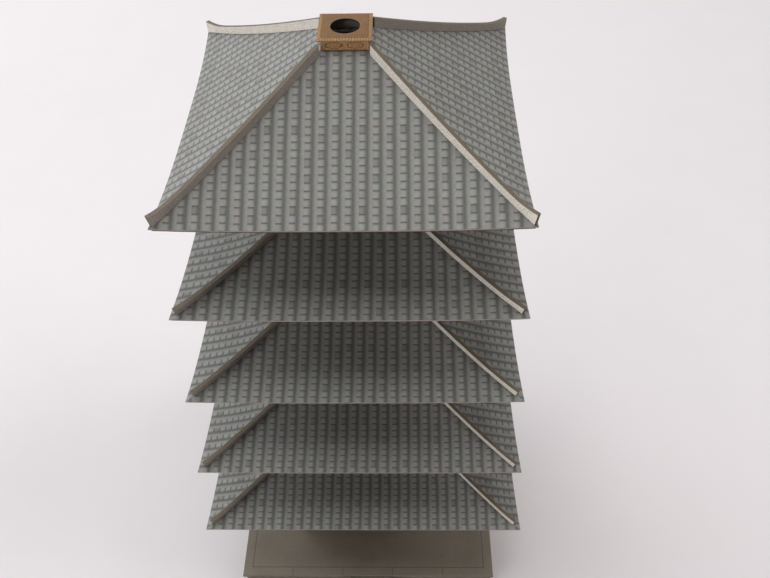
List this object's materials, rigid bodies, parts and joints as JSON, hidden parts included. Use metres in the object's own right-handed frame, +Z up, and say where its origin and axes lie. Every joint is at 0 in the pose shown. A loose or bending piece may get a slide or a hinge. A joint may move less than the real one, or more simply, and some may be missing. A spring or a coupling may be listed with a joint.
{
  "type": "card model of a five-storey pagoda",
  "caption": "Printed-card model of a tiled pagoda tower on a stone podium, without its spire: a square box with a round hole waits for it.",
  "frame": {"origin": "centre of the podium's underside, on the surface the model stands on", "axes": "+Z up the tower, -Y towards the front, +X to the right seen from the front"},
  "size_m": [0.1306, 0.1306, 0.2465],
  "materials": {
    "stone_print": "matt printed card, weathered stone",
    "wall_print": "matt printed card, plaster and timber",
    "timber_print": "matt printed card, dark timber",
    "roof_tile_print": "matt printed card, grey tiles",
    "ridge_print": "matt printed card, olive grey",
    "bronze_print": "matt printed card, bronze brown"
  },
  "bodies": {
    "root": {"podium_body": "stone_print", "podium_cap": "stone_print", "steps_front": "stone_print", "steps_right": "stone_print", "steps_back": "stone_print", "steps_left": "stone_print", "walls_1": "wall_print", "walls_2": "wall_print", "walls_3": "wall_print", "walls_4": "wall_print", "walls_5": "wall_print", "brackets_1": "timber_print", "brackets_2": "timber_print", "brackets_3": "timber_print", "brackets_4": "timber_print", "brackets_5": "timber_print", "eaves_1": "timber_print", "eaves_2": "timber_print", "eaves_3": "timber_print", "eaves_4": "timber_print", "eaves_5": "timber_print", "roof_1": "roof_tile_print", "roof_2": "roof_tile_print", "roof_3": "roof_tile_print", "roof_4": "roof_tile_print", "roof_5": "roof_tile_print", "ridge_1_front_left": "ridge_print", "ridge_1_front_right": "ridge_print", "ridge_1_back_right": "ridge_print", "ridge_1_back_left": "ridge_print", "ridge_2_front_left": "ridge_print", "ridge_2_front_right": "ridge_print", "ridge_2_back_right": "ridge_print", "ridge_2_back_left": "ridge_print", "ridge_3_front_left": "ridge_print", "ridge_3_front_right": "ridge_print", "ridge_3_back_right": "ridge_print", "ridge_3_back_left": "ridge_print", "ridge_4_front_left": "ridge_print", "ridge_4_front_right": "ridge_print", "ridge_4_back_right": "ridge_print", "ridge_4_back_left": "ridge_print", "ridge_5_front_left": "ridge_print", "ridge_5_front_right": "ridge_print", "ridge_5_back_right": "ridge_print", "ridge_5_back_left": "ridge_print", "balcony_2": "timber_print", "balcony_3": "timber_print", "balcony_4": "timber_print", "balcony_5": "timber_print", "dew_basin_body": "bronze_print", "dew_basin_lid": "bronze_print"}
  },
  "joints": []
}
